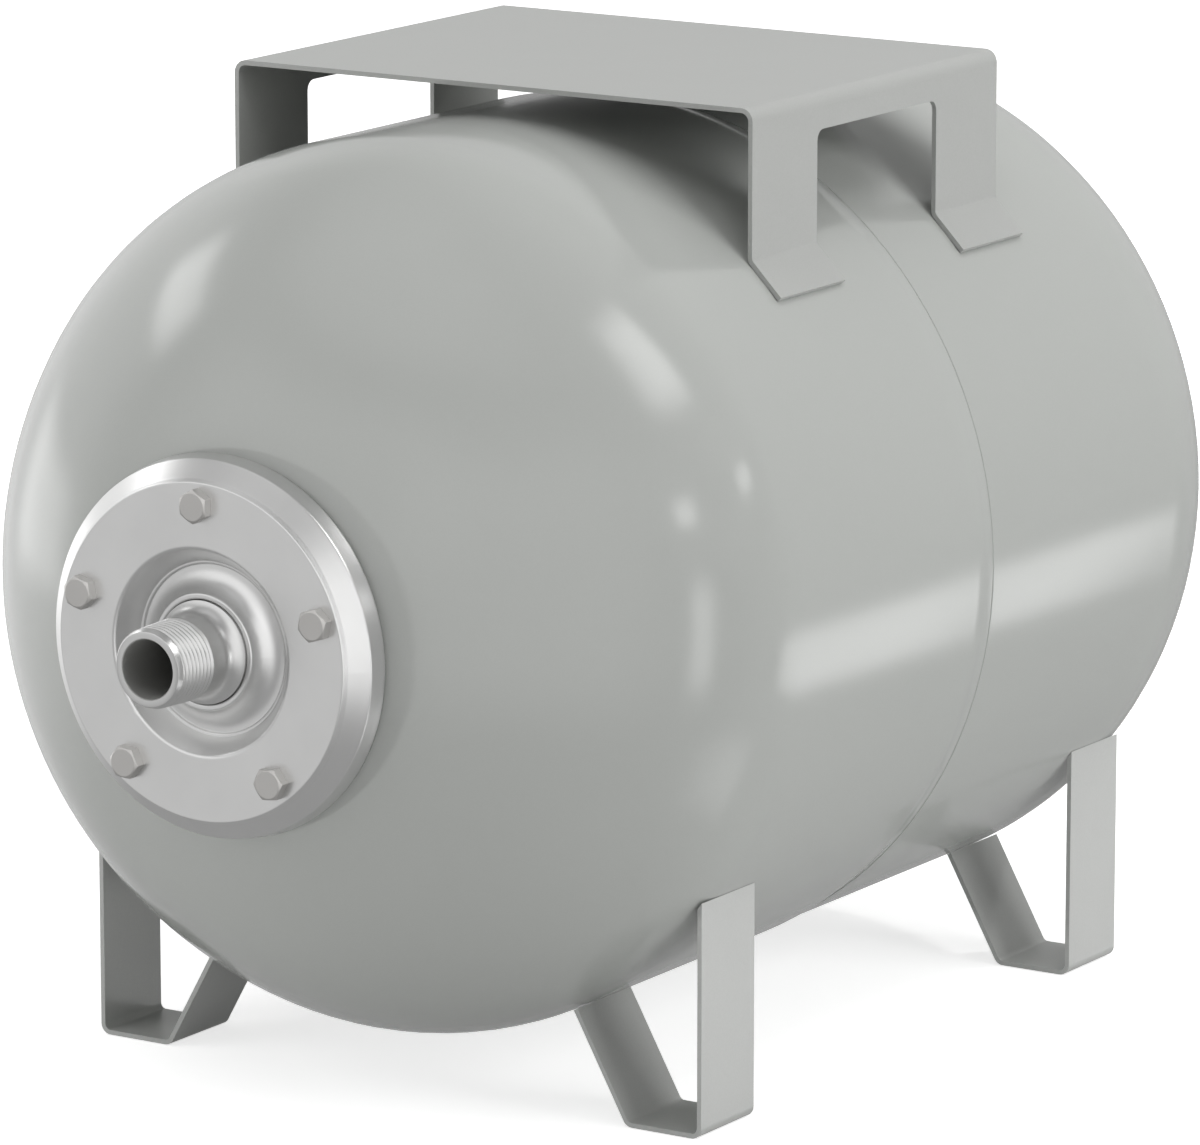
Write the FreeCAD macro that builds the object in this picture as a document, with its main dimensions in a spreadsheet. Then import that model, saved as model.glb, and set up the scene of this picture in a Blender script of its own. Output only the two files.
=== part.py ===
import FreeCAD, Part
import math
import os
from types import SimpleNamespace

import Sketcher

# Horizontal expansion tank of about 50 litres with a clamped cover, a pump bracket and four feet.
# X points right, Y runs along the tank from its cover to its air valve, Z points up.
# The origin is on the floor, below the middle of the whole length.

# Driving dimensions in millimetres, with angles in degrees and counts as whole numbers
SIZES = {
    # Tank halves, measured from the seam plane
    "tank_radius": 183.8,
    "shell_wall": 1.5,
    "shell_step": 1.0,
    "shell_straight": 153.7,
    "knuckle_radius": 88.0,
    "crown_excess": 12.2,
    "floor_clearance": 22.7,
    "neckdown_run": 15.0,
    "seam_dip": 0.35,
    "seam_rounding": 0.4,
    "spigot_length": 10.0,
    "fit_gap": 0.1,
    # Neck ring in the front shell
    "neck_inset": 3.3,
    "neck_depth": 16.0,
    "lip_seat_wall": 0.75,
    "lip_seat_width": 6.0,
    "tapped_depth": 12.0,
    # Cover
    "face_stand": 2.2,
    "cover_wall": 2.5,
    "step_radius": 68.8,
    "valley_width": 1.2,
    "step_drop": 1.8,
    "bevel_width": 6.8,
    "bevel_drop": 7.9,
    "rim_width": 1.2,
    "rim_clearance": 1.4288,
    "recess_inset": 6.6,
    "recess_depth": 9.9,
    "ledge_drop": 9.0,
    "ledge_radius": 34.1,
    "ledge_width": 0.9,
    "floor_radius": 33.6,
    "cove_radius": 10.5,
    "lip_drop": 1.6,
    "recess_rounding": 2.4,
    "ledge_rounding": 0.7,
    "lip_rounding": 0.8,
    "face_rounding": 0.8,
    "bevel_rounding": 1.2,
    # Bolts of the cover
    "bolt_inset": 10.05,
    "bolt_count": 5,
    "bolt_radius": 4.0,
    "bolt_engagement": 10.0,
    "head_flats": 12.0,
    "head_height": 4.7,
    "head_chamfer": 1.1,
    "head_chamfer_angle": 30.0,
    "bolt_hole_gap": 0.5,
    "thread_gap": 0.05,
    # Connection nipple, a G1 male thread
    "nipple_stand": 35.0,
    "nipple_thread_radius": 16.62,
    "nipple_thread_length": 21.6,
    "nipple_bore": 11.9,
    "nipple_chamfer": 1.9,
    "shank_radius": 15.6,
    "flare_radius": 8.0,
    "hub_drop": 1.2,
    "hub_flange_radius": 27.0,
    "hub_flange_wall": 3.5,
    # Bladder
    "bladder_wall": 2.5,
    "bladder_lip": 2.5,
    "bladder_gap": 12.0,
    # Air valve at the rear
    "boss_radius": 16.0,
    "boss_stand": 6.0,
    "boss_depth": 8.0,
    "stem_radius": 5.0,
    "stem_length": 13.0,
    "stem_flats": 14.0,
    "stem_hex_height": 4.0,
    "valve_neck_radius": 3.9,
    "valve_neck_length": 14.0,
    "core_bore": 2.7,
    "core_bore_depth": 20.0,
    "air_hole": 1.2,
    "washer_radius": 8.0,
    "washer_wall": 1.0,
    "core_length": 14.0,
    "core_drop": 3.0,
    "pin_radius": 0.8,
    "pin_length": 2.5,
    "cap_wall": 1.5,
    "cap_skirt": 12.0,
    "cap_seal_wall": 1.0,
    "cap_flutes": 12,
    "cap_flute_radius": 0.5,
    "valve_cover_wall": 2.0,
    "valve_cover_height": 32.0,
    "valve_cover_flutes": 16,
    "valve_cover_flute_radius": 1.2,
    "valve_cover_rounding": 4.0,
    # Pump bracket
    "bracket_half_width": 126.0,
    "bracket_length": 195.0,
    "bracket_clearance": 14.2,
    "bracket_wall": 2.0,
    "bracket_bend": 3.5,
    "bracket_leg_width": 50.0,
    "web_depth": 15.0,
    "window_rounding": 4.5,
    "tab_angle": 44.5,
    "tab_length": 20.3,
    "tab_bend": 2.0,
    # Feet
    "foot_inset": 35.7,
    "sole_width": 35.5,
    "foot_angle": 60.8,
    "foot_wall": 2.0,
    "foot_bend": 2.5,
    "foot_strip": 40.0,
    "foot_middle": 149.5,
}


class Dim:
    """A size known both as a number and as an expression of the sheet's cells."""

    def __init__(self, value, text):
        self.value = float(value)
        self.text = text

    @staticmethod
    def of(size):
        if isinstance(size, Dim):
            return size
        return Dim(size, "(" + repr(float(size)) + ")")

    def __add__(self, other):
        other = Dim.of(other)
        return Dim(self.value + other.value, "(" + self.text + " + " + other.text + ")")

    def __radd__(self, other):
        return Dim.of(other) + self

    def __sub__(self, other):
        other = Dim.of(other)
        return Dim(self.value - other.value, "(" + self.text + " - " + other.text + ")")

    def __rsub__(self, other):
        return Dim.of(other) - self

    def __mul__(self, other):
        other = Dim.of(other)
        return Dim(self.value * other.value, "(" + self.text + " * " + other.text + ")")

    def __rmul__(self, other):
        return Dim.of(other) * self

    def __truediv__(self, other):
        other = Dim.of(other)
        return Dim(self.value / other.value, "(" + self.text + " / " + other.text + ")")

    def __neg__(self):
        return Dim.of(0) - self


def root(size):
    return Dim(math.sqrt(size.value), "sqrt(" + size.text + ")")


def sine(angle):
    return Dim(math.sin(math.radians(angle.value)), "sin(" + angle.text + ")")


def cosine(angle):
    return Dim(math.cos(math.radians(angle.value)), "cos(" + angle.text + ")")


def tangent(angle):
    return Dim(math.tan(math.radians(angle.value)), "tan(" + angle.text + ")")


doc = FreeCAD.newDocument("expansion_tank")
sheet = doc.addObject("Spreadsheet::Sheet", "Sizes")
for row, (name, value) in enumerate(SIZES.items(), start=1):
    sheet.set("A" + str(row), name)
    sheet.set("B" + str(row), str(value))
    sheet.setAlias("B" + str(row), name)
doc.recompute()

d = SimpleNamespace(**{name: Dim(value, "Sizes." + name) for name, value in SIZES.items()})
pieces = []


# Helpers for bodies, sketches and features


def new_body(label, y, z):
    """A sub-part whose local origin lies at height z on the tank's middle plane."""
    body = doc.addObject("PartDesign::Body", label)
    body.Label = label
    body.setExpression("Placement.Base.y", y.text)
    body.setExpression("Placement.Base.z", z.text)
    pieces.append(body)
    return body


def new_sketch(body, name, role, offset=None):
    """A sketch on one of the body's own planes, moved along the plane's normal by offset."""
    sketch = body.newObject("Sketcher::SketchObject", name)
    plane = next(f for f in body.Origin.OriginFeatures if f.Role == role)
    sketch.AttachmentSupport = [(plane, "")]
    sketch.MapMode = "FlatFace"
    if offset is not None:
        sketch.setExpression("AttachmentOffset.Base.z", offset.text)
    return sketch


def constrain(sketch, constraint, size):
    index = sketch.addConstraint(constraint)
    sketch.setExpression("Constraints[" + str(index) + "]", size.text)


def pin(sketch, edge, vertex, x, y):
    """Fixes one end of an edge at (x, y) of the sketch."""
    constrain(sketch, Sketcher.Constraint("DistanceX", -1, 1, edge, vertex, x.value), x)
    constrain(sketch, Sketcher.Constraint("DistanceY", -1, 1, edge, vertex, y.value), y)


def draw_loop(sketch, loop):
    """Draws a closed loop of corners (x, y) or (x, y, (radius, side)).

    With a radius, the edge to the next corner is an arc. Its centre lies to the left of the way
    there for side 1, and to the right for side -1.
    """
    corners = [(Dim.of(c[0]), Dim.of(c[1]), c[2] if len(c) > 2 else None) for c in loop]
    edges = []
    for k, (x, y, bend) in enumerate(corners):
        x_next, y_next, _ = corners[(k + 1) % len(corners)]
        here = FreeCAD.Vector(x.value, y.value, 0)
        there = FreeCAD.Vector(x_next.value, y_next.value, 0)
        if bend is None:
            edges.append((sketch.addGeometry(Part.LineSegment(here, there)), 1, 2))
            continue
        radius, side = Dim.of(bend[0]), bend[1]
        half = (there - here) * 0.5
        rise = math.sqrt(max(radius.value**2 - half.Length**2, 0))
        left = FreeCAD.Vector(-half.y, half.x, 0).normalize()
        centre = here + half + left * (rise * side)
        first, last = (here, there) if side > 0 else (there, here)
        turn = [math.atan2(p.y - centre.y, p.x - centre.x) for p in (first, last)]
        circle = Part.Circle(centre, FreeCAD.Vector(0, 0, 1), radius.value)
        edge = sketch.addGeometry(Part.ArcOfCircle(circle, turn[0], turn[1]))
        constrain(sketch, Sketcher.Constraint("Radius", edge, radius.value), radius)
        edges.append((edge, 1, 2) if side > 0 else (edge, 2, 1))
    for k, (edge, first, last) in enumerate(edges):
        following, following_first, _ = edges[(k + 1) % len(edges)]
        sketch.addConstraint(Sketcher.Constraint("Coincident", edge, last, following, following_first))
        pin(sketch, edge, first, corners[k][0], corners[k][1])


def draw_circle(sketch, x, y, radius):
    x, y, radius = Dim.of(x), Dim.of(y), Dim.of(radius)
    circle = Part.Circle(FreeCAD.Vector(x.value, y.value, 0), FreeCAD.Vector(0, 0, 1), radius.value)
    edge = sketch.addGeometry(circle)
    constrain(sketch, Sketcher.Constraint("Radius", edge, radius.value), radius)
    pin(sketch, edge, 3, x, y)


def revolve(body, name, loop):
    """Turns a loop of (radius, y) corners about the tank's axis."""
    sketch = new_sketch(body, name + "_section", "XY_Plane")
    draw_loop(sketch, loop)
    turned = body.newObject("PartDesign::Revolution", name)
    turned.Profile = sketch
    turned.ReferenceAxis = (sketch, ["V_Axis"])
    turned.Angle = 360
    body.Tip = turned
    return turned


def pad(body, name, sketch, length, reverse=False):
    raised = body.newObject("PartDesign::Pad", name)
    raised.Profile = sketch
    raised.setExpression("Length", length.text)
    raised.Reversed = reverse
    body.Tip = raised
    return raised


def pocket(body, name, sketch, length, side_type="One side"):
    """Cuts the sketch out of the body, and stops if nothing was cut."""
    doc.recompute()
    before = body.Shape.Volume
    sunk = body.newObject("PartDesign::Pocket", name)
    sunk.Profile = sketch
    sunk.SideType = side_type
    sunk.setExpression("Length", length.text)
    body.Tip = sunk
    doc.recompute()
    if not body.Shape.Volume < before:
        raise ValueError(name + " cuts nothing from " + body.Label)
    return sunk


def repeat_round(body, name, originals, count):
    """Repeats features evenly about the tank's axis."""
    pattern = body.newObject("PartDesign::PolarPattern", name)
    pattern.Originals = originals
    axis = next(f for f in body.Origin.OriginFeatures if f.Role == "Y_Axis")
    pattern.Axis = (axis, [""])
    pattern.Angle = 360
    pattern.setExpression("Occurrences", count.text)
    body.Tip = pattern
    return pattern


def round_edges(body, name, radius, wanted):
    """Rounds those edges of the body for which wanted(edge) is true."""
    doc.recompute()
    base = body.Tip
    names = ["Edge" + str(k) for k, edge in enumerate(base.Shape.Edges, start=1) if wanted(edge)]
    if not names:
        raise ValueError(name + " finds no edge on " + body.Label)
    rounding = body.newObject("PartDesign::Fillet", name)
    rounding.Base = (base, names)
    rounding.setExpression("Radius", radius.text)
    body.Tip = rounding
    return rounding


def is_ring(edge, radius, y):
    """True for a circle about the tank's axis of that radius at that y of its body."""
    centre = edge.BoundBox.Center
    near = 0.01
    on_axis = abs(centre.x) < near and abs(centre.z) < near
    wide = abs(edge.BoundBox.XLength / 2 - radius.value) < near
    return on_axis and wide and abs(centre.y - y.value) < near and edge.BoundBox.YLength < near


def runs_along_y(edge, x, z):
    """True for a straight edge along Y through that x and z of its body."""
    box = edge.BoundBox
    near = 0.01
    thin = box.XLength < near and box.ZLength < near
    return thin and abs(box.Center.x - x.value) < near and abs(box.Center.z - z.value) < near


def on_both_sides(edge, x, z):
    return runs_along_y(edge, x, z) or runs_along_y(edge, -x, z)


def offset_corner(before, corner, after, gap):
    """The corner of a path moved to its left by gap, from three corners of the path."""
    normals = []
    for start, end in ((before, corner), (corner, after)):
        dx = end[0] - start[0]
        dy = end[1] - start[1]
        length = root(dx * dx + dy * dy)
        normals.append((-dy / length, dx / length))
    (ax, ay), (bx, by) = normals
    scale = gap / (1 + ax * bx + ay * by)
    return corner[0] + (ax + bx) * scale, corner[1] + (ay + by) * scale


# Shared places


def head(radius, knuckle, crown):
    """A dished end: knuckle arc and crown arc, with y measured from the seam plane."""
    reach = crown - knuckle
    offset = radius - knuckle
    centre = d.shell_straight - root(reach * reach - offset * offset)
    ratio = crown / reach
    return SimpleNamespace(
        radius=radius,
        knuckle=knuckle,
        crown=crown,
        centre=centre,
        join_radius=offset * ratio,
        join_y=centre + (d.shell_straight - centre) * ratio,
        pole=centre + crown,
    )


def crown_y(dish, radius):
    """Distance from the seam plane to a dished end at a radius on its crown."""
    return dish.centre + root(dish.crown * dish.crown - radius * radius)


def thinner(dish, wall):
    return head(dish.radius - wall, dish.knuckle - wall, dish.crown - wall)


axis_height = d.tank_radius + d.floor_clearance
crown_radius = d.tank_radius + d.crown_excess
rear_radius = d.tank_radius - d.shell_step
front_dish = head(d.tank_radius, d.knuckle_radius, crown_radius)
rear_dish = head(rear_radius, d.knuckle_radius, crown_radius)
bladder_dish = thinner(rear_dish, d.shell_wall + d.bladder_gap)

face = front_dish.pole + d.face_stand
ring_front = face - d.cover_wall
rear_pole = rear_dish.pole
front_reach = face + d.nipple_stand
rear_reach = rear_pole + d.valve_cover_height
seam_y = (front_reach - rear_reach) / 2
on_axis = axis_height
on_floor = Dim.of(0)

# Rings of the cover and the neck, from the step in the cover's face outwards and inwards
face_radius = d.step_radius - d.valley_width
bevel_radius = d.step_radius + d.bevel_width
rim_radius = bevel_radius + d.rim_width
neck_radius = d.step_radius - d.neck_inset
bolt_circle = d.step_radius - d.bolt_inset
lip_seat_radius = bolt_circle - d.bolt_radius - d.lip_seat_wall
neck_bore = lip_seat_radius - d.lip_seat_width
recess_radius = neck_bore - d.recess_inset
rim_drop = face - crown_y(front_dish, rim_radius - d.cover_wall) - d.rim_clearance


# Tank halves


def make_front_shell():
    """Drawn half with the neck opening. Its end necks down and carries a spigot for the rear half."""
    body = new_body("front_shell", seam_y, on_axis)
    inner = thinner(front_dish, d.shell_wall)
    opening = neck_radius + d.fit_gap
    spigot = rear_radius - d.shell_wall - d.fit_gap
    mouth = rear_radius - d.seam_dip
    outer_drop = d.tank_radius - mouth
    inner_drop = d.tank_radius - spigot
    run = d.neckdown_run
    outer_bend = (run * run + outer_drop * outer_drop) / (4 * outer_drop)
    inner_bend = (run * run + inner_drop * inner_drop) / (4 * inner_drop)
    loop = [
        (opening, -crown_y(front_dish, opening), (front_dish.crown, 1)),
        (front_dish.join_radius, -front_dish.join_y, (front_dish.knuckle, 1)),
        (d.tank_radius, -d.shell_straight),
        (d.tank_radius, -run, (outer_bend, 1)),
        (d.tank_radius - outer_drop / 2, -run / 2, (outer_bend, -1)),
        (mouth, 0),
        (spigot, 0),
        (spigot, d.spigot_length),
        (spigot - d.shell_wall, d.spigot_length),
        (spigot - d.shell_wall, 0, (inner_bend, 1)),
        (inner.radius - inner_drop / 2, -run / 2, (inner_bend, -1)),
        (inner.radius, -run),
        (inner.radius, -d.shell_straight, (inner.knuckle, -1)),
        (inner.join_radius, -inner.join_y, (inner.crown, -1)),
        (opening, -crown_y(inner, opening)),
    ]
    revolve(body, "drawn_front", loop)


def make_rear_shell():
    """Drawn half that slides over the front half's spigot, with a hole for the valve boss."""
    body = new_body("rear_shell", seam_y, on_axis)
    inner = thinner(rear_dish, d.shell_wall)
    opening = d.boss_radius + d.fit_gap
    edge = d.seam_rounding
    loop = [
        (rear_radius - edge, 0, (edge, 1)),
        (rear_radius, edge),
        (rear_radius, d.shell_straight, (rear_dish.knuckle, 1)),
        (rear_dish.join_radius, rear_dish.join_y, (rear_dish.crown, 1)),
        (opening, crown_y(rear_dish, opening)),
        (opening, crown_y(inner, opening), (inner.crown, -1)),
        (inner.join_radius, inner.join_y, (inner.knuckle, -1)),
        (inner.radius, d.shell_straight),
        (inner.radius, 0),
    ]
    revolve(body, "drawn_rear", loop)


# Neck, cover, bolts and nipple

# The cove round the nipple is a quarter ring about this depth behind the face, and ends at its lip
cove_centre = d.recess_depth - d.cove_radius
lip_rise = d.lip_drop - cove_centre
outer_cove = d.cove_radius + d.cover_wall


def make_neck_ring():
    """Steel ring set in the front shell: seat for the bladder's lip and tapped holes for the bolts."""
    body = new_body("neck_ring", seam_y, on_axis)
    seat = ring_front - d.bladder_lip
    back = ring_front - d.neck_depth
    loop = [
        (neck_bore, -seat),
        (lip_seat_radius, -seat),
        (lip_seat_radius, -ring_front),
        (neck_radius, -ring_front),
        (neck_radius, -back),
        (neck_bore, -back),
    ]
    revolve(body, "ring", loop)
    sketch = new_sketch(body, "tapped_hole_circle", "XZ_Plane", ring_front)
    draw_circle(sketch, 0, bolt_circle, d.bolt_radius + d.thread_gap)
    hole = pocket(body, "tapped_hole", sketch, d.tapped_depth)
    repeat_round(body, "tapped_holes", [hole], d.bolt_count)


def make_flange_cover():
    """Pressed sheet cover: rim, bevel, raised face, conical recess, ledge and a cove up to a lip."""
    body = new_body("flange_cover", seam_y, on_axis)
    wall = d.cover_wall
    recess_edge = (recess_radius, Dim.of(0))
    ledge = (d.ledge_radius, d.ledge_drop)
    ledge_end = (d.ledge_radius + d.ledge_width, d.ledge_drop)
    recess_slope = (recess_radius - ledge_end[0]) / d.ledge_drop
    floor_end = (recess_radius - d.recess_depth * recess_slope, d.recess_depth)
    floor_start = (d.floor_radius, d.recess_depth)
    face_edge = (face_radius, Dim.of(0))
    step = (d.step_radius, d.step_drop)
    bevel = (bevel_radius, d.bevel_drop)
    rim = (rim_radius, rim_drop)
    slope = (bevel_radius - d.step_radius) / (d.bevel_drop - d.step_drop)
    bevel_top = (d.step_radius - d.step_drop * slope, Dim.of(0))
    lip_front = d.floor_radius - root(d.cove_radius * d.cove_radius - lip_rise * lip_rise)
    lip_back = d.floor_radius - root(outer_cove * outer_cove - lip_rise * lip_rise)
    under_floor = offset_corner(floor_start, floor_end, recess_edge, wall)
    under_recess = offset_corner(floor_end, recess_edge, face_edge, wall)
    under_face = offset_corner(recess_edge, bevel_top, bevel, wall)
    under_bevel = offset_corner(step, bevel, rim, wall)
    path = [
        (lip_front, d.lip_drop, (d.cove_radius, -1)),
        floor_start,
        ledge,
        ledge_end,
        recess_edge,
        face_edge,
        step,
        bevel,
        rim,
        (rim_radius - wall, rim_drop),
        under_bevel,
        under_face,
        under_recess,
        under_floor,
        (d.floor_radius, cove_centre + outer_cove, (outer_cove, 1)),
        (lip_back, d.lip_drop),
    ]
    loop = [(corner[0], corner[1] - face) + tuple(corner[2:]) for corner in path]
    revolve(body, "pressed_cover", loop)
    sketch = new_sketch(body, "bolt_hole_circle", "XZ_Plane", face)
    draw_circle(sketch, 0, bolt_circle, d.bolt_radius + d.bolt_hole_gap)
    hole = pocket(body, "bolt_hole", sketch, d.recess_depth)
    repeat_round(body, "bolt_holes", [hole], d.bolt_count)
    rounded = (
        ("lip_inner_edge", d.lip_rounding, lip_back, d.lip_drop - face),
        ("lip_outer_edge", d.lip_rounding, lip_front, d.lip_drop - face),
        ("ledge_edge", d.ledge_rounding, d.ledge_radius, d.ledge_drop - face),
        ("recess_edge", d.recess_rounding, recess_radius, -face),
        ("face_edge", d.face_rounding, face_radius, -face),
        ("bevel_edge", d.bevel_rounding, bevel_radius, d.bevel_drop - face),
    )
    for name, rounding, radius, y in rounded:
        round_edges(body, name, rounding, lambda edge: is_ring(edge, radius, y))


def make_connection_nipple():
    """Turned nipple: chamfered end, thread, shank, flared hub and a flange in the cove's back."""
    body = new_body("connection_nipple", seam_y, on_axis)
    thread_end = d.nipple_thread_length - d.nipple_stand
    seat_start = root(outer_cove * outer_cove - lip_rise * lip_rise) + d.fit_gap
    hub_radius = d.floor_radius - seat_start
    overhang = d.shank_radius + d.flare_radius - hub_radius
    flare_start = d.hub_drop - root(d.flare_radius * d.flare_radius - overhang * overhang)
    seat_radius = outer_cove + d.fit_gap
    seat_front = cove_centre + root(seat_radius * seat_radius - seat_start * seat_start)
    seat_end = d.floor_radius - d.hub_flange_radius
    flange_front = cove_centre + root(seat_radius * seat_radius - seat_end * seat_end)
    flange_back = flange_front + d.hub_flange_wall
    path = [
        (d.nipple_bore, -d.nipple_stand),
        (d.nipple_thread_radius - d.nipple_chamfer, -d.nipple_stand),
        (d.nipple_thread_radius, d.nipple_chamfer - d.nipple_stand),
        (d.nipple_thread_radius, thread_end),
        (d.shank_radius, thread_end + d.nipple_thread_radius - d.shank_radius),
        (d.shank_radius, flare_start, (d.flare_radius, -1)),
        (hub_radius, d.hub_drop),
        (hub_radius, seat_front, (seat_radius, -1)),
        (d.hub_flange_radius, flange_front),
        (d.hub_flange_radius, flange_back),
        (d.nipple_bore, flange_back),
    ]
    loop = [(corner[0], corner[1] - face) + tuple(corner[2:]) for corner in path]
    revolve(body, "turned_nipple", loop)


def make_flange_bolts():
    """Hexagon bolts through the cover into the neck ring, one solid each."""
    body = new_body("flange_bolts", seam_y, on_axis)
    point = d.head_flats / root(Dim.of(3))
    half = d.head_flats / 2
    middle = bolt_circle
    sketch = new_sketch(body, "head_hexagon", "XZ_Plane", face)
    hexagon = [
        (0, middle + point),
        (-half, middle + point / 2),
        (-half, middle - point / 2),
        (0, middle - point),
        (half, middle - point / 2),
        (half, middle + point / 2),
    ]
    draw_loop(sketch, hexagon)
    bolt_head = pad(body, "bolt_head", sketch, d.head_height)
    sketch = new_sketch(body, "shank_circle", "XZ_Plane", face)
    draw_circle(sketch, 0, middle, d.bolt_radius)
    shank = pad(body, "bolt_shank", sketch, d.cover_wall + d.bolt_engagement, reverse=True)
    top = -(face + d.head_height)
    beyond = point + d.head_chamfer
    sketch = new_sketch(body, "chamfer_section", "YZ_Plane")
    corner = [
        (top, middle + half - d.head_chamfer / 2),
        (top, middle + beyond),
        (top + (beyond - half + d.head_chamfer / 2) * tangent(d.head_chamfer_angle), middle + beyond),
    ]
    draw_loop(sketch, corner)
    ends = [FreeCAD.Vector(x, middle.value, 0) for x in (top.value, 0)]
    axis = sketch.addGeometry(Part.LineSegment(*ends), True)
    pin(sketch, axis, 1, top, middle)
    pin(sketch, axis, 2, Dim.of(0), middle)
    chamfer = body.newObject("PartDesign::Groove", "head_chamfer")
    chamfer.Profile = sketch
    chamfer.ReferenceAxis = (sketch, ["Axis0"])
    chamfer.Angle = 360
    body.Tip = chamfer
    doc.recompute()
    if not chamfer.Shape.Volume < shank.Shape.Volume:
        raise ValueError("the head chamfer cuts nothing")
    repeat_round(body, "bolts", [bolt_head, shank, chamfer], d.bolt_count)


# Bladder


def make_bladder():
    """Rubber bag in the shape that it takes when full, its lip clamped under the cover."""
    body = new_body("bladder", seam_y, on_axis)
    inner = thinner(bladder_dish, d.bladder_wall)
    neck = neck_bore - d.fit_gap
    throat = neck - d.bladder_wall
    lip = lip_seat_radius - d.fit_gap
    loop = [
        (throat, -ring_front),
        (lip, -ring_front),
        (lip, d.bladder_lip - ring_front),
        (neck, d.bladder_lip - ring_front),
        (neck, -crown_y(bladder_dish, neck), (bladder_dish.crown, 1)),
        (bladder_dish.join_radius, -bladder_dish.join_y, (bladder_dish.knuckle, 1)),
        (bladder_dish.radius, -d.shell_straight),
        (bladder_dish.radius, d.shell_straight, (bladder_dish.knuckle, 1)),
        (bladder_dish.join_radius, bladder_dish.join_y, (bladder_dish.crown, 1)),
        (0, bladder_dish.pole),
        (0, inner.pole, (inner.crown, -1)),
        (inner.join_radius, inner.join_y, (inner.knuckle, -1)),
        (inner.radius, d.shell_straight),
        (inner.radius, -d.shell_straight, (inner.knuckle, -1)),
        (inner.join_radius, -inner.join_y, (inner.crown, -1)),
        (throat, -crown_y(inner, throat)),
    ]
    revolve(body, "bag", loop)


# Air valve at the rear pole

hex_seat = rear_pole + d.boss_stand + d.washer_wall
neck_start = hex_seat + d.stem_hex_height
valve_top = neck_start + d.valve_neck_length
cap_bore = d.valve_neck_radius + d.fit_gap
cap_top = valve_top + d.cap_seal_wall + d.cap_wall


def make_valve_boss():
    body = new_body("valve_boss", seam_y, on_axis)
    bore = d.stem_radius + d.thread_gap
    loop = [
        (bore, rear_pole - d.boss_depth),
        (d.boss_radius, rear_pole - d.boss_depth),
        (d.boss_radius, rear_pole + d.boss_stand),
        (bore, rear_pole + d.boss_stand),
    ]
    revolve(body, "boss", loop)


def make_valve_washer():
    body = new_body("valve_washer", seam_y, on_axis)
    bore = d.stem_radius + d.fit_gap
    loop = [
        (bore, rear_pole + d.boss_stand),
        (d.washer_radius, rear_pole + d.boss_stand),
        (d.washer_radius, hex_seat),
        (bore, hex_seat),
    ]
    revolve(body, "washer", loop)


def make_valve_stem():
    """Brass valve body: shank in the boss, hexagon on the washer, neck with the core's bore."""
    body = new_body("valve_stem", seam_y, on_axis)
    bore_end = valve_top - d.core_bore_depth
    loop = [
        (d.air_hole, hex_seat - d.stem_length),
        (d.stem_radius, hex_seat - d.stem_length),
        (d.stem_radius, neck_start),
        (d.valve_neck_radius, neck_start),
        (d.valve_neck_radius, valve_top),
        (d.core_bore, valve_top),
        (d.core_bore, bore_end),
        (d.air_hole, bore_end),
    ]
    revolve(body, "stem", loop)
    point = d.stem_flats / root(Dim.of(3))
    half = d.stem_flats / 2
    sketch = new_sketch(body, "stem_hexagon", "XZ_Plane", -hex_seat)
    hexagon = [
        (0, point),
        (-half, point / 2),
        (-half, -point / 2),
        (0, -point),
        (half, -point / 2),
        (half, point / 2),
    ]
    draw_loop(sketch, hexagon)
    draw_circle(sketch, 0, 0, (d.stem_radius + d.core_bore) / 2)
    pad(body, "hexagon", sketch, d.stem_hex_height, reverse=True)


def make_valve_core():
    """Valve insert: barrel in the stem's bore and the pin that stands out of it."""
    body = new_body("valve_core", seam_y, on_axis)
    barrel = d.core_bore - d.fit_gap
    top = valve_top - d.core_drop
    bottom = top - d.core_length
    loop = [
        (0, bottom),
        (barrel, bottom),
        (barrel, top),
        (d.pin_radius, top),
        (d.pin_radius, top + d.pin_length),
        (0, top + d.pin_length),
    ]
    revolve(body, "core", loop)


def make_valve_cap_seal():
    body = new_body("valve_cap_seal", seam_y, on_axis)
    loop = [
        (0, valve_top),
        (d.valve_neck_radius, valve_top),
        (d.valve_neck_radius, valve_top + d.cap_seal_wall),
        (0, valve_top + d.cap_seal_wall),
    ]
    revolve(body, "seal", loop)


def make_valve_dust_cap():
    """Small screw cap over the valve's neck, with flutes for the fingers."""
    body = new_body("valve_dust_cap", seam_y, on_axis)
    outer = cap_bore + d.cap_wall
    skirt = valve_top - d.cap_skirt
    loop = [
        (cap_bore, skirt),
        (outer, skirt),
        (outer, cap_top),
        (0, cap_top),
        (0, cap_top - d.cap_wall),
        (cap_bore, cap_top - d.cap_wall),
    ]
    revolve(body, "cap", loop)
    sketch = new_sketch(body, "flute_circle", "XZ_Plane", -skirt)
    draw_circle(sketch, 0, outer + d.cap_flute_radius / 2, d.cap_flute_radius)
    flute = pocket(body, "flute", sketch, d.cap_skirt)
    repeat_round(body, "flutes", [flute], d.cap_flutes)


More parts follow.
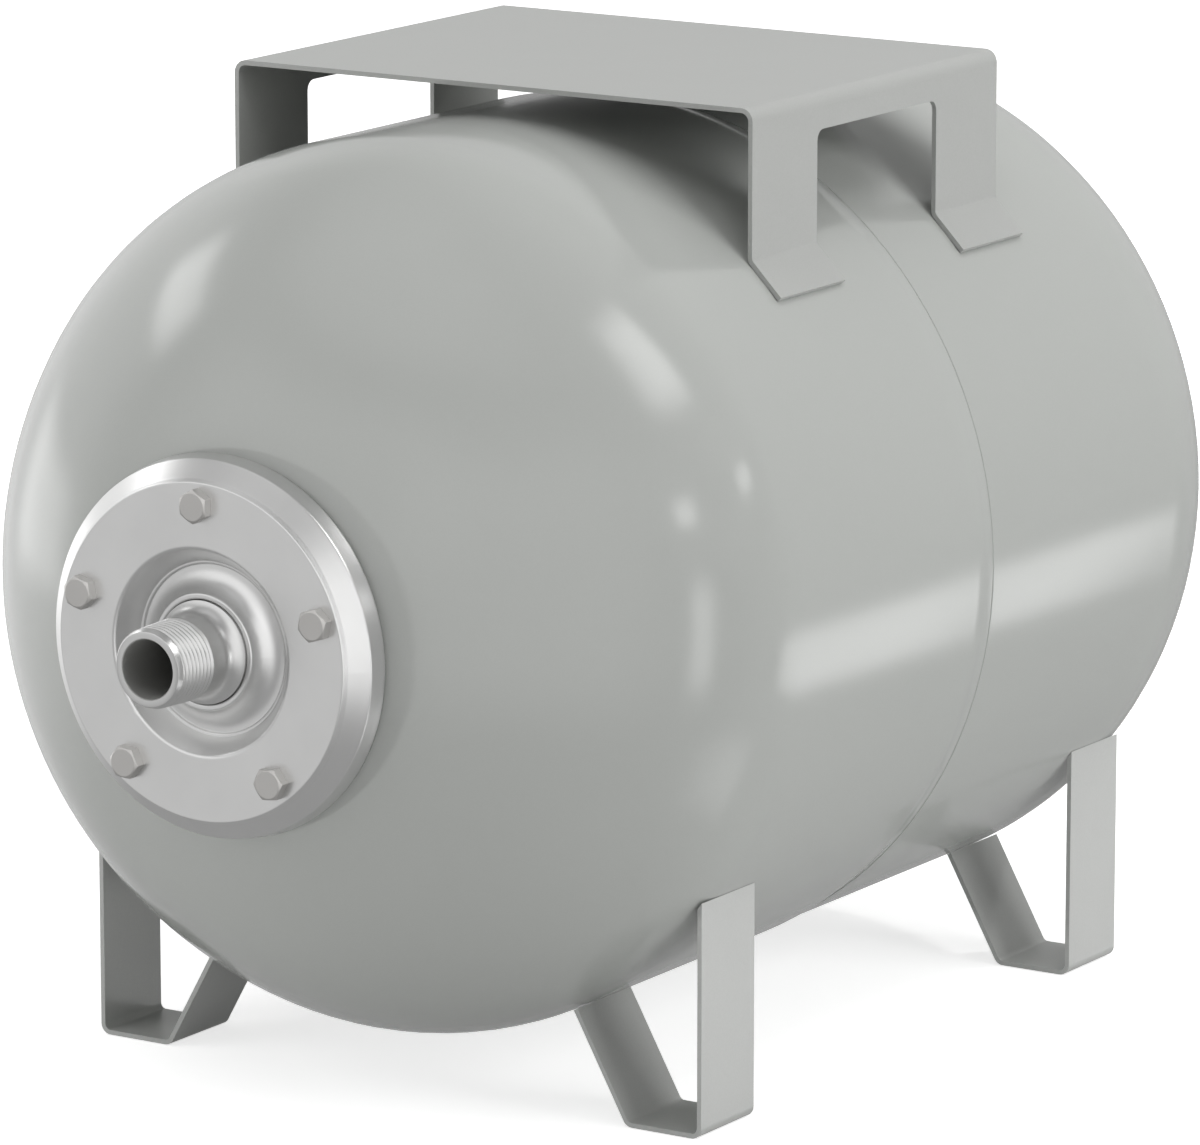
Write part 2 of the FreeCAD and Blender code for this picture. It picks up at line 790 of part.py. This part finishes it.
def make_valve_cover():
    """Plastic cover pushed over the boss, round the whole valve."""
    body = new_body("valve_cover", seam_y, on_axis)
    bore = d.boss_radius + d.fit_gap
    outer = bore + d.valve_cover_wall
    rim = crown_y(rear_dish, bore) + d.fit_gap
    loop = [
        (bore, rim),
        (outer, rim),
        (outer, rear_reach),
        (0, rear_reach),
        (0, rear_reach - d.valve_cover_wall),
        (bore, rear_reach - d.valve_cover_wall),
    ]
    revolve(body, "cover_cap", loop)
    rounding = d.valve_cover_rounding
    round_edges(body, "cover_edge", rounding, lambda edge: is_ring(edge, outer, rear_reach))
    sketch = new_sketch(body, "grip_circle", "XZ_Plane", -rim)
    draw_circle(sketch, 0, outer + d.valve_cover_flute_radius / 4, d.valve_cover_flute_radius)
    flute = pocket(body, "grip", sketch, rear_reach - rim - 2 * rounding)
    repeat_round(body, "grips", [flute], d.valve_cover_flutes)


# Pump bracket


def make_pump_bracket():
    """Folded sheet: a plate on four legs, whose tabs lie on the two halves of the tank."""
    body = new_body("pump_bracket", seam_y, on_floor)
    wall = d.bracket_wall
    half = d.bracket_half_width
    top = axis_height + d.tank_radius + d.bracket_clearance
    inside = half - wall
    lean = (cosine(d.tab_angle), sine(d.tab_angle))
    bends = []
    for name, radius, ahead in (("front", d.tank_radius, True), ("rear", rear_radius, False)):
        seat = radius + d.fit_gap
        low = axis_height + (seat - inside * lean[0]) / lean[1]
        high = axis_height + (seat + wall - half * lean[0]) / lean[1]
        tab_x = inside + d.tab_length * lean[1]
        tab_z = low - d.tab_length * lean[0]
        right = [
            (inside, top - wall),
            (inside, low),
            (tab_x, tab_z),
            (tab_x + wall * lean[0], tab_z + wall * lean[1]),
            (half, high),
            (half, top),
        ]
        left = [(-x, z) for x, z in reversed(right)]
        sketch = new_sketch(body, name + "_section", "XZ_Plane")
        draw_loop(sketch, right + left)
        pad(body, name + "_half", sketch, d.bracket_length / 2, reverse=not ahead)
        bends.append((name, low, high))
    opening = d.bracket_length / 2 - d.bracket_leg_width
    window_top = top - d.web_depth
    corner = d.window_rounding
    floor = axis_height
    sketch = new_sketch(body, "window_outline", "YZ_Plane")
    outline = [
        (-opening, floor),
        (opening, floor),
        (opening, window_top - corner, (corner, 1)),
        (opening - corner, window_top),
        (corner - opening, window_top, (corner, 1)),
        (-opening, window_top - corner),
    ]
    draw_loop(sketch, outline)
    pocket(body, "flank_windows", sketch, 2 * (half + d.tab_length), side_type="Symmetric")
    rounded = [
        ("plate_bend_outside", d.bracket_bend + wall, half, top),
        ("plate_bend_inside", d.bracket_bend, inside, top - wall),
    ]
    for name, low, high in bends:
        rounded.append((name + "_tab_inside", d.tab_bend, half, high))
        rounded.append((name + "_tab_outside", d.tab_bend + wall, inside, low))
    for name, radius, x, z in rounded:
        round_edges(body, name, radius, lambda edge: on_both_sides(edge, x, z))


# Feet


def make_foot(label, side, end):
    """Bent flat strip: upright, sole and leaning leg, both ends coped to the tank.

    side is 1 on the right and -1 on the left, end is 1 at the rear and -1 at the front.
    """
    body = new_body(label, seam_y + end * d.foot_middle, on_floor)
    wall = d.foot_wall
    outer = d.tank_radius - d.foot_inset
    inner = outer - d.sole_width
    mitre = wall * tangent(d.foot_angle / 2)
    reach = axis_height / 2
    lean = (cosine(d.foot_angle), sine(d.foot_angle))
    inner_top = (inner - reach * lean[0], reach * lean[1])
    strip = [
        (outer, reach * 2),
        (outer, Dim.of(0)),
        (inner, Dim.of(0)),
        inner_top,
        (inner_top[0] + wall * lean[1], inner_top[1] + wall * lean[0]),
        (inner + mitre, wall),
        (outer - wall, wall),
        (outer - wall, reach * 2),
    ]
    sketch = new_sketch(body, "strip_section", "XZ_Plane")
    draw_loop(sketch, [(side * x, z) for x, z in strip])
    strip_pad = pad(body, "strip", sketch, d.foot_strip)
    strip_pad.SideType = "Symmetric"
    radius = d.tank_radius if end < 0 else rear_radius
    sketch = new_sketch(body, "tank_outline", "XZ_Plane")
    draw_circle(sketch, 0, axis_height, radius + d.fit_gap)
    pocket(body, "cope", sketch, d.foot_strip * 2, side_type="Symmetric")
    bend = d.foot_bend
    zero = Dim.of(0)
    round_edges(body, "heel_outside", bend + wall, lambda e: runs_along_y(e, side * outer, zero))
    round_edges(body, "heel_inside", bend, lambda e: runs_along_y(e, side * (outer - wall), wall))
    round_edges(body, "toe_outside", bend + wall, lambda e: runs_along_y(e, side * inner, zero))
    round_edges(body, "toe_inside", bend, lambda e: runs_along_y(e, side * (inner + mitre), wall))


make_front_shell()
make_rear_shell()
make_neck_ring()
make_flange_cover()
make_connection_nipple()
make_flange_bolts()
make_bladder()
make_valve_boss()
make_valve_washer()
make_valve_stem()
make_valve_core()
make_valve_cap_seal()
make_valve_dust_cap()
make_valve_cover()
make_pump_bracket()
for end_name, end in (("front", -1), ("rear", 1)):
    for side_name, side in (("left", -1), ("right", 1)):
        make_foot("foot_" + end_name + "_" + side_name, side, end)

# Checks before anything is written
doc.recompute()
for item in doc.Objects:
    if "Invalid" in item.State or "Error" in item.State:
        raise ValueError(item.Label + " failed: " + ", ".join(item.State))
for piece in pieces:
    if piece.Shape.isNull() or not piece.Shape.isValid():
        raise ValueError(piece.Label + " has no valid shape")

os.makedirs("parts", exist_ok=True)
for piece in pieces:
    piece.Shape.exportStep("parts/" + piece.Label + ".step")
    box = piece.Shape.BoundBox
    print(piece.Label, len(piece.Shape.Solids), round(piece.Shape.Volume), box)
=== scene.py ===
import math

import bmesh
import bpy
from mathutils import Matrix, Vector


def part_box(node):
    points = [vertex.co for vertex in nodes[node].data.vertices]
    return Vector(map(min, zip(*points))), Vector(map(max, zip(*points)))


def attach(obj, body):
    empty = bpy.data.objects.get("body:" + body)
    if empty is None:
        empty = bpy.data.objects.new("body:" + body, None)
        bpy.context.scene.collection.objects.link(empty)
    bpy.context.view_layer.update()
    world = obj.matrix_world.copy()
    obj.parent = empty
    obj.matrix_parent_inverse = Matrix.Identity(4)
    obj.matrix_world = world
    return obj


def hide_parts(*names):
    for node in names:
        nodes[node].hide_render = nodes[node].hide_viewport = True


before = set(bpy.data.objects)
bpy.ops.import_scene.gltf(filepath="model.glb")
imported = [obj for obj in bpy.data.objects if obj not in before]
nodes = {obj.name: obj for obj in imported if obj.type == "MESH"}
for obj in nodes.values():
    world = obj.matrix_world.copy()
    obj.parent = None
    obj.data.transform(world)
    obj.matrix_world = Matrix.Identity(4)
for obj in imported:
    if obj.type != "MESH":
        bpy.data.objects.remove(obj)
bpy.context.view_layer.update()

# Metres throughout. X points right, Y runs from the cover to the air valve, Z points up.

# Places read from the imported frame
shell_low, shell_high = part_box("front_shell")
rear_low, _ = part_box("rear_shell")
nipple_low, nipple_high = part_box("connection_nipple")
cover_low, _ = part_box("flange_cover")
SEAM_Y = rear_low.y
AXIS_Z = (shell_low.z + shell_high.z) / 2
FACE_Y = cover_low.y
TANK_CENTRE = Vector((0, SEAM_Y, AXIS_Z))

# Faces that meet at more than this angle keep a sharp edge
SHARP_ANGLE = math.radians(32)


# Camera

# Fitted to the photograph: the lens in millimetres, the camera's place and the point it looks at
CAMERA_LENS = 233.85
CAMERA_PLACE = Vector((1.7310, SEAM_Y - 2.7112, 0.8751))
CAMERA_TARGET = Vector((-0.00669, SEAM_Y - 0.00299, 0.18372))


def make_camera():
    """A long lens to the right of the cover and a little above the tank."""
    data = bpy.data.cameras.new("camera")
    data.sensor_fit = "HORIZONTAL"
    data.sensor_width = 36.0
    data.lens = CAMERA_LENS
    data.clip_end = 100.0
    camera = bpy.data.objects.new("camera", data)
    camera.location = CAMERA_PLACE
    camera.rotation_euler = (CAMERA_TARGET - CAMERA_PLACE).to_track_quat("-Z", "Y").to_euler()
    bpy.context.scene.collection.objects.link(camera)
    bpy.context.scene.camera = camera


# Node trees

# Most values of a noise texture lie between these two
NOISE_LOW = 0.3
NOISE_HIGH = 0.7


class Tree:
    """A short way to write a node tree."""

    def __init__(self, tree):
        self.tree = tree

    def fill(self, socket, given):
        """Gives a socket another node's output, a plain colour or a plain number."""
        if isinstance(given, bpy.types.NodeSocket):
            self.tree.links.new(given, socket)
        elif socket.type == "RGBA":
            socket.default_value = given + (1.0,)
        else:
            socket.default_value = given

    def node(self, kind, inputs=None, **settings):
        """A new node with its settings made and its inputs filled."""
        made = self.tree.nodes.new(kind)
        for name, setting in settings.items():
            setattr(made, name, setting)
        for name, given in (inputs or {}).items():
            self.fill(made.inputs[name], given)
        return made

    def combine(self, operation, first, second):
        return self.node("ShaderNodeMath", {0: first, 1: second}, operation=operation).outputs["Value"]

    def mix(self, kind, factor, first, second):
        """Goes from first to second, which are colours for RGBA and numbers for FLOAT."""
        inputs = {"Factor": factor, "A": first, "B": second}
        return self.node("ShaderNodeMix", inputs, data_type=kind).outputs["Result"]

    def spread(self, factor, low, high, start=NOISE_LOW, end=NOISE_HIGH, curve="LINEAR"):
        """Turns a factor between start and end into a number between low and high."""
        inputs = {"Value": factor, "From Min": start, "From Max": end, "To Min": low, "To Max": high}
        return self.node("ShaderNodeMapRange", inputs, interpolation_type=curve).outputs["Result"]


class Material(Tree):
    """A node tree of a new material."""

    def __init__(self, name):
        self.material = bpy.data.materials.new(name)
        self.material.use_nodes = True
        super().__init__(self.material.node_tree)
        self.shader = self.tree.nodes["Principled BSDF"]
        self.output = self.tree.nodes["Material Output"]
        self.object_coordinates = self.node("ShaderNodeTexCoord").outputs["Object"]

    def set(self, socket, given):
        self.fill(self.shader.inputs[socket], given)

    def noise(self, scale, detail):
        inputs = {"Scale": scale, "Detail": detail, "Vector": self.object_coordinates}
        return self.node("ShaderNodeTexNoise", inputs).outputs["Fac"]

    def patches(self, scale, detail):
        """A noise spread out to run from 0 to 1."""
        return self.spread(self.noise(scale, detail), 0.0, 1.0)

    def bump(self, height, strength, distance, normal=None):
        inputs = {"Height": height, "Strength": strength, "Distance": distance}
        if normal:
            inputs["Normal"] = normal
        return self.node("ShaderNodeBump", inputs).outputs["Normal"]

    def only_shaders(self, first, second):
        """Takes two shaders added together in place of the usual one."""
        self.tree.nodes.remove(self.shader)
        both = self.node("ShaderNodeAddShader", {0: first, 1: second})
        self.fill(self.output.inputs["Surface"], both.outputs["Shader"])


# Finishes


def shade(colour, factor):
    return tuple(channel * factor for channel in colour)


def paint(name, colour, roughness, grain):
    """Powder coat: a slight cloud in its colour, fine specks and orange peel."""
    speck_scale = 1400.0
    cloud_tint = 0.015
    m = Material(name)
    cloud = m.patches(scale=5.0, detail=3.0)
    speck = m.patches(scale=speck_scale, detail=2.0)
    clouded = m.mix("RGBA", cloud, shade(colour, 1.0 - cloud_tint), shade(colour, 1.0 + cloud_tint))
    speckled = m.mix("RGBA", speck, shade(colour, 1.0 - grain), shade(colour, 1.0 + grain))
    m.set("Base Color", m.mix("RGBA", 0.5, clouded, speckled))
    smear = m.noise(scale=14.0, detail=3.0)
    m.set("Roughness", m.spread(smear, roughness - 0.01, roughness + 0.02))
    peel = m.bump(m.noise(scale=260.0, detail=2.0), strength=0.05, distance=0.0003)
    fine = m.noise(scale=speck_scale, detail=1.0)
    m.set("Normal", m.bump(fine, strength=0.04, distance=0.0001, normal=peel))
    m.set("IOR", 1.5)
    return m.material


def from_axis(m):
    """Coordinates measured from the tank's axis."""
    inputs = {"Location": (0.0, 0.0, -AXIS_Z), "Vector": m.object_coordinates}
    return m.node("ShaderNodeMapping", inputs).outputs["Vector"]


def turned_rings(m, normal):
    """The fine rings that turning leaves about the tank's axis, on top of a normal."""
    inputs = {"Scale": 900.0, "Distortion": 0.6, "Detail": 2.0, "Vector": from_axis(m)}
    settings = {"wave_type": "RINGS", "rings_direction": "Y", "wave_profile": "SIN"}
    rings = m.node("ShaderNodeTexWave", inputs, **settings).outputs["Fac"]
    return m.bump(rings, strength=0.03, distance=0.00005, normal=normal)


def outside_bore(m, bore):
    """A factor that is 0 in a bore on the tank's axis and 1 outside it."""
    fade_start = bore + 0.0001
    fade_end = bore + 0.0005
    across = m.node("ShaderNodeVectorMath", {0: from_axis(m), 1: (1.0, 0.0, 1.0)}, operation="MULTIPLY")
    radius = m.node("ShaderNodeVectorMath", {0: across.outputs["Vector"]}, operation="LENGTH")
    return m.spread(radius.outputs["Value"], 0.0, 1.0, fade_start, fade_end)


def metal(name, colour, roughness, rounding, turned=False, dull_bore=None):
    """Satin metal with softly rounded edges. Turned metal has rings about the tank's axis, and where
    dull_bore gives a radius, the bore inside it is dull."""
    m = Material(name)
    cloud = m.patches(scale=38.0, detail=4.0)
    base = m.mix("RGBA", cloud, shade(colour, 0.97), shade(colour, 1.02))
    fine = m.noise(scale=2600.0, detail=2.0)
    rough = m.spread(fine, roughness - 0.02, roughness + 0.03)
    rounded = m.node("ShaderNodeBevel", {"Radius": rounding}, samples=8).outputs["Normal"]
    normal = m.bump(fine, strength=0.01, distance=0.00005, normal=rounded)
    m.set("Metallic", 1.0)
    if turned:
        normal = turned_rings(m, normal)
    if dull_bore:
        bore_colour = (0.30, 0.30, 0.29)
        bore_roughness = 0.6
        bore_metallic = 0.1
        outside = outside_bore(m, dull_bore)
        base = m.mix("RGBA", outside, bore_colour, base)
        rough = m.mix("FLOAT", outside, bore_roughness, rough)
        m.set("Metallic", m.spread(outside, bore_metallic, 1.0, 0.0, 1.0))
    m.set("Base Color", base)
    m.set("Roughness", rough)
    m.set("Normal", normal)
    return m.material


def moulded(name, colour, roughness, grain_scale):
    """Moulded plastic or rubber with a fine matte grain."""
    m = Material(name)
    cloud = m.patches(scale=30.0, detail=3.0)
    m.set("Base Color", m.mix("RGBA", cloud, shade(colour, 0.85), shade(colour, 1.15)))
    grain = m.noise(scale=grain_scale, detail=3.0)
    m.set("Roughness", m.spread(grain, roughness - 0.05, roughness + 0.08))
    m.set("Normal", m.bump(grain, strength=0.2, distance=0.0002))
    return m.material


# Pieces


def add_object(name, data):
    made = bpy.data.objects.new(name, data)
    bpy.context.scene.collection.objects.link(made)
    return made


def make_piece(name, data, material, replaced):
    """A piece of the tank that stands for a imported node."""
    piece = add_object(name, data)
    data.materials.append(material)
    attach(piece, "root")
    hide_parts(replaced)


def make_skin(name, material):
    """A piece in a node's own shape, whose smooth shading runs on where its surfaces meet."""
    same_place = 0.000002
    shape = bmesh.new()
    shape.from_mesh(nodes[name].data)
    bmesh.ops.remove_doubles(shape, verts=shape.verts, dist=same_place)
    shape.verts.index_update()
    places = [vertex.co.copy() for vertex in shape.verts]
    faces = [[vertex.index for vertex in face.verts] for face in shape.faces]
    shape.free()
    data = bpy.data.meshes.new(name + "_skin")
    data.from_pydata(places, [], faces)
    data.shade_smooth()
    data.set_sharp_from_angle(angle=SHARP_ANGLE)
    make_piece(name + "_skin", data, material, name)


# Nipple

# Radii and lengths that the source gives it, from its bore out and from its end inwards. The seat is
# the arc round the cover's cove
BORE = 0.0119
THREAD_CREST = 0.01662
THREAD_LENGTH = 0.0216
CHAMFER = 0.0019
SHANK = 0.0156
FLARE = 0.008
HUB_RADIUS = 0.0206875
HUB_DROP = 0.0012
SEAT_RADIUS = 0.0131
SEAT_CENTRE_RADIUS = 0.0336
SEAT_CENTRE_DEPTH = -0.0006
FLANGE_RADIUS = (nipple_high.x - nipple_low.x) / 2

# What is added here: a one inch pipe thread, tapered by 1 in 32 a side, and edges that aren't sharp
THREAD_PITCH = 0.002309
THREAD_DEPTH = 0.0012
THREAD_TAPER = 1 / 32
BORE_ROUNDING = 0.0004
EDGE_BREAK = 0.0001


def thread_depth(turns):
    """Depth of a 55 degree pipe thread under its crest, for a place counted in pitches."""
    half_flat = 0.08
    place = turns % 1.0
    from_crest = min(place, 1 - place)
    share = (from_crest - half_flat) / (0.5 - 2 * half_flat)
    return THREAD_DEPTH * min(max(share, 0.0), 1.0)


def nipple_profile():
    """Points from the bore's mouth round to its back: radius, y, and the share of the thread's depth."""
    steps_a_pitch = 14
    flare_steps = 16
    seat_steps = 8
    first_cut = 0.35
    end = nipple_low.y
    back = nipple_high.y
    nose = THREAD_CREST - CHAMFER
    thread_start = end + CHAMFER
    thread_end = end + THREAD_LENGTH
    cut_length = THREAD_LENGTH - CHAMFER
    points = [(BORE, end + BORE_ROUNDING, 0), (BORE + BORE_ROUNDING, end, 0)]
    points += [(nose - EDGE_BREAK, end, 0), (nose + EDGE_BREAK, end + EDGE_BREAK, 0)]
    count = int(cut_length / THREAD_PITCH * steps_a_pitch)
    for k in range(count + 1):
        y = thread_start + cut_length * k / count
        before = first_cut + (y - thread_start) / THREAD_PITCH
        after = (thread_end - y) / THREAD_PITCH
        points.append((THREAD_CREST - (thread_end - y) * THREAD_TAPER, y, min(1.0, before, after)))
    points.append((SHANK, thread_end + THREAD_CREST - SHANK, 0))
    overhang = SHANK + FLARE - HUB_RADIUS
    flare_start = FACE_Y + HUB_DROP - math.sqrt(FLARE * FLARE - overhang * overhang)
    sweep = math.acos(overhang / FLARE)
    for k in range(flare_steps + 1):
        turn = sweep * k / flare_steps
        points.append((SHANK + FLARE - FLARE * math.cos(turn), flare_start + FLARE * math.sin(turn), 0))
    for k in range(seat_steps + 1):
        radius = HUB_RADIUS + (FLANGE_RADIUS - HUB_RADIUS) * k / seat_steps
        drop = math.sqrt(max(SEAT_RADIUS**2 - (SEAT_CENTRE_RADIUS - radius) ** 2, 0))
        points.append((radius, FACE_Y + SEAT_CENTRE_DEPTH + drop, 0))
    return points + [(FLANGE_RADIUS, back, 0), (BORE, back, 0)]


def make_nipple(material):
    """The nipple with its tapered helical pipe thread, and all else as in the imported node."""
    around = 160
    mesh = bmesh.new()
    rings = []
    for radius, y, cut in nipple_profile():
        ring = []
        for j in range(around):
            turn = 2 * math.pi * j / around
            r = radius - cut * thread_depth((y - nipple_low.y) / THREAD_PITCH - j / around)
            ring.append(mesh.verts.new((r * math.sin(turn), y, AXIS_Z + r * math.cos(turn))))
        rings.append(ring)
    for ring, following in zip(rings, rings[1:] + rings[:1]):
        for j in range(around):
            i = (j + 1) % around
            mesh.faces.new((ring[j], following[j], following[i], ring[i]))
    bmesh.ops.recalc_face_normals(mesh, faces=mesh.faces)
    data = bpy.data.meshes.new("threaded_nipple")
    mesh.to_mesh(data)
    mesh.free()
    data.shade_smooth()
    data.set_sharp_from_angle(angle=SHARP_ANGLE)
    make_piece("threaded_nipple", data, material, "connection_nipple")


# Studio

# Levels of the pale surroundings for diffuse light and in glossy surfaces
WORLD_LEVEL = 0.08
WORLD_GLOSS = 0.38

# Light that the floor adds where the camera sees it, near the tank and far from it, so that only
# its shadows are darker than white
FLOOR_NEAR = 0.7
FLOOR_FAR = 1.0
FLOOR_NEAR_RADIUS = 0.6
FLOOR_FAR_RADIUS = 1.6
FLOOR_HALF_WIDTH = 30.0

# The floor lies this far under the soles, so that the two never share a plane
FLOOR_GAP = 0.0003

# Soft lamps that light the surfaces: name, azimuth, elevation, distance, width, height, radiance
LAMPS = (
    ("overhead", 0, 90, 2.6, 3.6, 3.6, 1.6),
    ("front_right", 35, 35, 3.0, 2.0, 2.0, 0.55),
    ("right", 95, 20, 3.0, 2.0, 1.6, 4.2),
    ("front_left", -35, 25, 3.0, 2.0, 2.0, 1.3),
    ("low_left", -26, -7.6, 1.3, 0.1, 0.04, 180.0),
    ("low_back", 150, -5, 1.8, 1.2, 0.06, 11.0),
    ("high_back", 170, 40, 3.0, 0.15, 0.15, 220.0),
)

# Cards that show only in glossy surfaces: name, azimuth, elevation, both widths in degrees, and
# radiance
CARDS = (
    ("right_high", 100.5, 50.5, 40, 31, 4.8),
    ("right_spot", 84.3, 18.2, 7.5, 7.5, 6.0),
    ("right_strip", 85.3, -8, 8.2, 32, 3.4),
    ("right_front", 44, 8, 84, 84, 0.85),
    ("front_high", -20, 26, 110, 52, 0.75),
    ("rear_spot", 120.3, 18.4, 15, 6.5, 3.4),
    ("rear_band", 142, -16, 34, 12, 2.3),
    ("low_right", 106, -37, 40, 20, 1.1),
    ("left", -89.5, 33, 34, 14, 2.6),
    ("left_low", -96, -2.5, 40, 19, 1.2),
    ("left_wide", -105, 8, 84, 84, 0.65),
    ("left_front", -36, -14, 56, 50, 0.35),
    ("top", -30, 70, 200, 40, 0.4),
    ("back", 180, 20, 110, 70, 0.15),
)
CARD_DISTANCE = 6.0

# The share of a card's width over which its edge fades
CARD_FADE = 0.3


def aim(azimuth, elevation, distance):
    """A place seen from the tank. Azimuth 0 is towards the cover's side, 90 is to the right."""
    turn = math.radians(azimuth)
    rise = math.radians(elevation)
    way = Vector((math.sin(turn) * math.cos(rise), -math.cos(turn) * math.cos(rise), math.sin(rise)))
    return TANK_CENTRE + way * distance


def make_lamp(name, azimuth, elevation, distance, width, height, radiance):
    """An area lamp that faces the tank and doesn't show in its gloss."""
    data = bpy.data.lights.new(name, "AREA")
    data.shape = "RECTANGLE"
    data.size = width
    data.size_y = height
    data.energy = radiance * math.pi * width * height
    lamp = add_object(name, data)
    lamp.location = aim(azimuth, elevation, distance)
    lamp.rotation_euler = (TANK_CENTRE - lamp.location).to_track_quat("-Z", "Y").to_euler()
    lamp.visible_camera = False
    lamp.visible_glossy = False


def card_mesh(name, azimuth, elevation, across, up):
    """A sheet curved round the tank, with coordinates that run from 0 to 1 each way."""
    steps = 12
    shares = [step / steps for step in range(steps + 1)]
    spots = [(s, t) for s in shares for t in shares]
    places = []
    for s, t in spots:
        places.append(aim(azimuth + across * (s - 0.5), elevation + up * (t - 0.5), CARD_DISTANCE))
    faces = []
    for i in range(steps):
        for j in range(steps):
            first = i * (steps + 1) + j
            faces.append((first, first + 1, first + steps + 2, first + steps + 1))
    data = bpy.data.meshes.new(name)
    data.from_pydata(places, [], faces)
    layer = data.uv_layers.new(name="card")
    for loop in data.loops:
        layer.data[loop.index].uv = spots[loop.vertex_index]
    return data


def card_light(name, radiance):
    """Light that fades out at the card's edges and lets what is behind the card through."""
    m = Material(name)
    card = m.node("ShaderNodeTexCoord").outputs["UV"]
    parts = m.node("ShaderNodeSeparateXYZ", {"Vector": card})
    fades = []
    for axis in ("X", "Y"):
        from_edge = m.combine("PINGPONG", parts.outputs[axis], 0.5)
        fades.append(m.spread(from_edge, 0.0, 1.0, 0.0, CARD_FADE, "SMOOTHSTEP"))
    strength = m.combine("MULTIPLY", m.combine("MULTIPLY", *fades), radiance)
    glow = m.node("ShaderNodeEmission", {"Strength": strength})
    clear = m.node("ShaderNodeBsdfTransparent")
    m.only_shaders(glow.outputs["Emission"], clear.outputs["BSDF"])
    m.material.cycles.emission_sampling = "NONE"
    return m.material


def make_card(name, azimuth, elevation, across, up, radiance):
    """A bright card with soft edges that shows only in glossy surfaces."""
    card = add_object(name, card_mesh(name, azimuth, elevation, across, up))
    card.data.materials.append(card_light(name, radiance))
    card.visible_camera = False
    card.visible_diffuse = False
    card.visible_shadow = False
    card.visible_transmission = False


def make_world():
    """Even pale surroundings, white where the camera sees them."""
    world = bpy.data.worlds.new("studio")
    bpy.context.scene.world = world
    world.use_nodes = True
    tree = Tree(world.node_tree)
    path = tree.node("ShaderNodeLightPath").outputs
    dim = tree.spread(path["Is Glossy Ray"], WORLD_LEVEL, WORLD_GLOSS, 0.0, 1.0)
    seen = tree.combine("MAXIMUM", path["Is Camera Ray"], path["Is Transmission Ray"])
    background = world.node_tree.nodes["Background"]
    tree.fill(background.inputs["Color"], (1.0, 1.0, 1.0))
    tree.fill(background.inputs["Strength"], tree.spread(seen, dim, 1.0, 0.0, 1.0))


def make_floor():
    """A wide pale floor that keeps the tank's shadow and looks white elsewhere."""
    half = FLOOR_HALF_WIDTH
    corners = [(x, y, -FLOOR_GAP) for x, y in ((-half, -half), (half, -half), (half, half), (-half, half))]
    data = bpy.data.meshes.new("floor")
    data.from_pydata(corners, [], [(0, 1, 2, 3)])
    floor = add_object("floor", data)
    floor.visible_glossy = False
    m = Material("floor_white")
    tint = m.mix("RGBA", m.patches(scale=3.0, detail=2.0), (0.80, 0.80, 0.80), (0.82, 0.82, 0.82))
    diffuse = m.node("ShaderNodeBsdfDiffuse", {"Color": tint})
    away = m.node("ShaderNodeVectorMath", {0: m.object_coordinates}, operation="LENGTH")
    level = m.spread(away.outputs["Value"], FLOOR_NEAR, FLOOR_FAR, FLOOR_NEAR_RADIUS, FLOOR_FAR_RADIUS)
    path = m.node("ShaderNodeLightPath").outputs
    seen = m.combine("MULTIPLY", level, path["Is Camera Ray"])
    white = m.node("ShaderNodeEmission", {"Strength": seen})
    m.only_shaders(diffuse.outputs["BSDF"], white.outputs["Emission"])
    data.materials.append(m.material)


# Build

tank_paint = paint("tank_paint", colour=(0.425, 0.437, 0.42), roughness=0.13, grain=0.02)
bracket_paint = paint("bracket_paint", colour=(0.415, 0.423, 0.41), roughness=0.34, grain=0.05)
# The feet's paint is paler than the tank's: painted light, standing in for the extra light that the feet
# catch low down by the floor
foot_paint_painted_lighter = paint("foot_paint_painted_lighter", colour=(0.485, 0.493, 0.48), roughness=0.34, grain=0.05)
zinc = metal("zinc_plate", colour=(0.725, 0.725, 0.72), roughness=0.31, rounding=0.0007)
turned_zinc = metal(
    "turned_zinc", colour=(0.64, 0.64, 0.635), roughness=0.3, rounding=0.0001, turned=True, dull_bore=BORE
)
bolt_zinc = metal("bolt_zinc", colour=(0.57, 0.56, 0.545), roughness=0.4, rounding=0.0004)
steel = metal("plain_steel", colour=(0.42, 0.42, 0.42), roughness=0.4, rounding=0.0004, turned=True)
brass = metal("brass", colour=(0.75, 0.58, 0.28), roughness=0.28, rounding=0.0002, turned=True)
bladder_rubber = moulded("bladder_rubber", colour=(0.03, 0.03, 0.03), roughness=0.6, grain_scale=500.0)
seal_rubber = moulded("seal_rubber", colour=(0.02, 0.02, 0.02), roughness=0.55, grain_scale=900.0)
black_plastic = moulded("black_plastic", colour=(0.03, 0.03, 0.032), roughness=0.42, grain_scale=1200.0)

FINISHES = {
    "front_shell": tank_paint,
    "rear_shell": tank_paint,
    "valve_boss": tank_paint,
    "pump_bracket": bracket_paint,
    "foot_front_left": foot_paint_painted_lighter,
    "foot_front_right": foot_paint_painted_lighter,
    "foot_rear_left": foot_paint_painted_lighter,
    "foot_rear_right": foot_paint_painted_lighter,
    "flange_cover": zinc,
    "connection_nipple": turned_zinc,
    "flange_bolts": bolt_zinc,
    "neck_ring": steel,
    "bladder": bladder_rubber,
    "valve_washer": seal_rubber,
    "valve_cap_seal": seal_rubber,
    "valve_stem": brass,
    "valve_core": brass,
    "valve_dust_cap": black_plastic,
    "valve_cover": black_plastic,
}

for name, material in FINISHES.items():
    node = nodes[name]
    node.data.materials.clear()
    node.data.materials.append(material)

make_skin("front_shell", tank_paint)
make_skin("rear_shell", tank_paint)
make_nipple(turned_zinc)
make_camera()
make_world()
for lamp in LAMPS:
    make_lamp(*lamp)
for card in CARDS:
    make_card(*card)
make_floor()
bpy.context.scene.view_settings.view_transform = "Standard"
